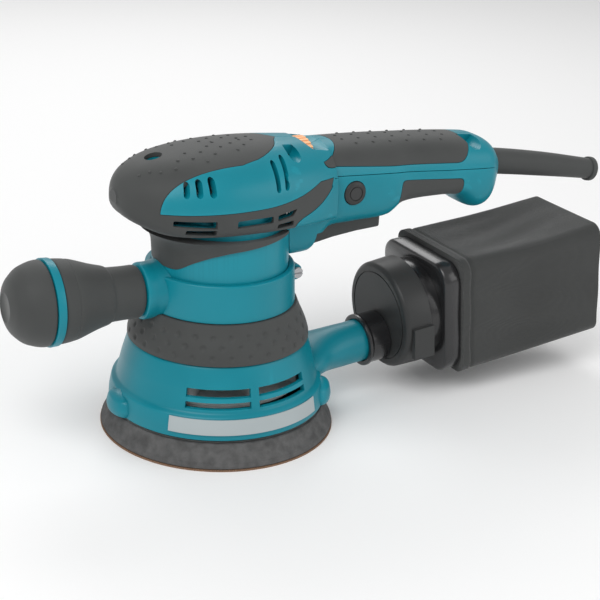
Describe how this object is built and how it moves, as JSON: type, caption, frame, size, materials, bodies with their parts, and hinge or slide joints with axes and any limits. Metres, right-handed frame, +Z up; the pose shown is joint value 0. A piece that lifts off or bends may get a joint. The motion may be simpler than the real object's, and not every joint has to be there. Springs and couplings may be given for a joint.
{
  "type": "random orbit sander",
  "caption": "Corded palm-and-handle random orbit sander with a round pad, front knob, trigger switch, speed wheel and a fabric dust bag on a rear duct.",
  "frame": {"origin": "on the spindle axis, in the plane of the sanding face that lies on the work", "axes": "+X points back to the rear handle and the dust bag, +Z points up from the work, and +Y points to the right in a view from the front knob towards the handle"},
  "size_m": [0.3566, 0.123, 0.1516],
  "materials": {
    "teal_plastic": "fine moulded grain, satin",
    "soft_rubber": "soft matte over-moulding",
    "black_plastic": "moulded satin black",
    "gloss_black": "polished black",
    "bag_cloth": "woven polyester",
    "pad_foam": "dense closed-cell foam",
    "abrasive": "coarse grit on paper",
    "grey_label": "printed film, left blank",
    "amber_plastic": "translucent-looking moulded wheel",
    "pale_plastic": "glass-filled nylon",
    "steel": "machined",
    "zinc_screw": "zinc plated",
    "cast_alloy": "die cast",
    "copper": "turned copper bars",
    "carbon": "pressed carbon",
    "circuit_board": "solder mask"
  },
  "bodies": {
    "housing": {"bearing_box": "cast_alloy", "lower_bearing": "steel", "grip_cone": "soft_rubber", "dust_skirt": "teal_plastic", "skirt_seal": "soft_rubber", "label_plate": "grey_label", "motor_housing": "black_plastic", "neck_grip": "soft_rubber", "stator": "steel", "baffle_ring": "black_plastic", "brush_holder_left": "black_plastic", "brush_holder_right": "black_plastic", "carbon_brush_left": "carbon", "carbon_brush_right": "carbon", "bearing_bracket": "cast_alloy", "upper_bearing": "steel", "clamp_band": "teal_plastic", "band_screw": "zinc_screw", "palm_grip": "soft_rubber", "handle_top_grip": "soft_rubber", "handle_lower_grip": "soft_rubber", "handle_left": "teal_plastic", "handle_right": "teal_plastic", "housing_screw_1": "zinc_screw", "housing_screw_2": "zinc_screw", "housing_screw_3": "zinc_screw", "housing_screw_4": "zinc_screw", "housing_screw_5": "zinc_screw", "trigger_pin": "steel", "switch_body": "black_plastic", "controller_board": "circuit_board", "cord_guard": "soft_rubber"},
    "spindle": {"armature_shaft": "steel", "armature_core": "steel", "commutator": "copper", "cooling_fan": "pale_plastic", "dust_fan": "pale_plastic", "counterweight": "steel", "pad_bearing": "steel"},
    "pad": {"pad_plate": "black_plastic", "pad_foam": "pad_foam", "abrasive_disc": "abrasive", "pad_screw": "steel", "pad_shaft": "steel"},
    "front_knob": {"knob_grip": "soft_rubber", "knob_ring": "teal_plastic", "knob_stud": "steel"},
    "bag_coupling": {"bag_socket": "gloss_black", "bag_cap": "black_plastic"},
    "bag": {"bag_frame": "black_plastic", "dust_bag": "bag_cloth"},
    "trigger": {"trigger": "black_plastic"},
    "lock_button": {"lock_button": "black_plastic"},
    "speed_wheel": {"speed_dial": "amber_plastic", "dial_shaft": "steel"}
  },
  "joints": [
    {"name": "spindle_spin", "type": "hinge", "parent": "housing", "child": "spindle", "pos_m": [0, 0, 0.05], "axis": [0, 0, 1], "continuous": true},
    {"name": "pad_spin", "type": "hinge", "parent": "spindle", "child": "pad", "pos_m": [0, -0.0014, 0.012], "axis": [0, 0, 1], "continuous": true},
    {"name": "trigger_squeeze", "type": "hinge", "parent": "housing", "child": "trigger", "pos_m": [0.052, 0, 0.1084], "axis": [0, -1, 0], "range_deg": [0, 5], "stiffness_Nm_per_rad": 1.2, "springref_deg": -2.86},
    {"name": "lock_press", "type": "slide", "parent": "housing", "child": "lock_button", "axis": [0, 1, 0], "range_m": [0, 0.003], "stiffness_N_per_m": 400, "springref_m": -0.001},
    {"name": "speed_turn", "type": "hinge", "parent": "housing", "child": "speed_wheel", "pos_m": [0.042, 0, 0.134], "axis": [1, 0, 0], "range_deg": [0, 270]},
    {"name": "knob_unscrew", "type": "slide", "parent": "housing", "child": "front_knob", "axis": [-0.9997, 0, 0.0244], "range_m": [0, 0.04]},
    {"name": "bag_pull", "type": "slide", "parent": "housing", "child": "bag_coupling", "axis": [0.9945, 0, 0.1045], "range_m": [0, 0.045]},
    {"name": "bag_twist", "type": "hinge", "parent": "bag_coupling", "child": "bag", "pos_m": [0.0995, 0, 0.0422], "axis": [0.9945, 0, 0.1045], "range_deg": [0, 25]}
  ]
}
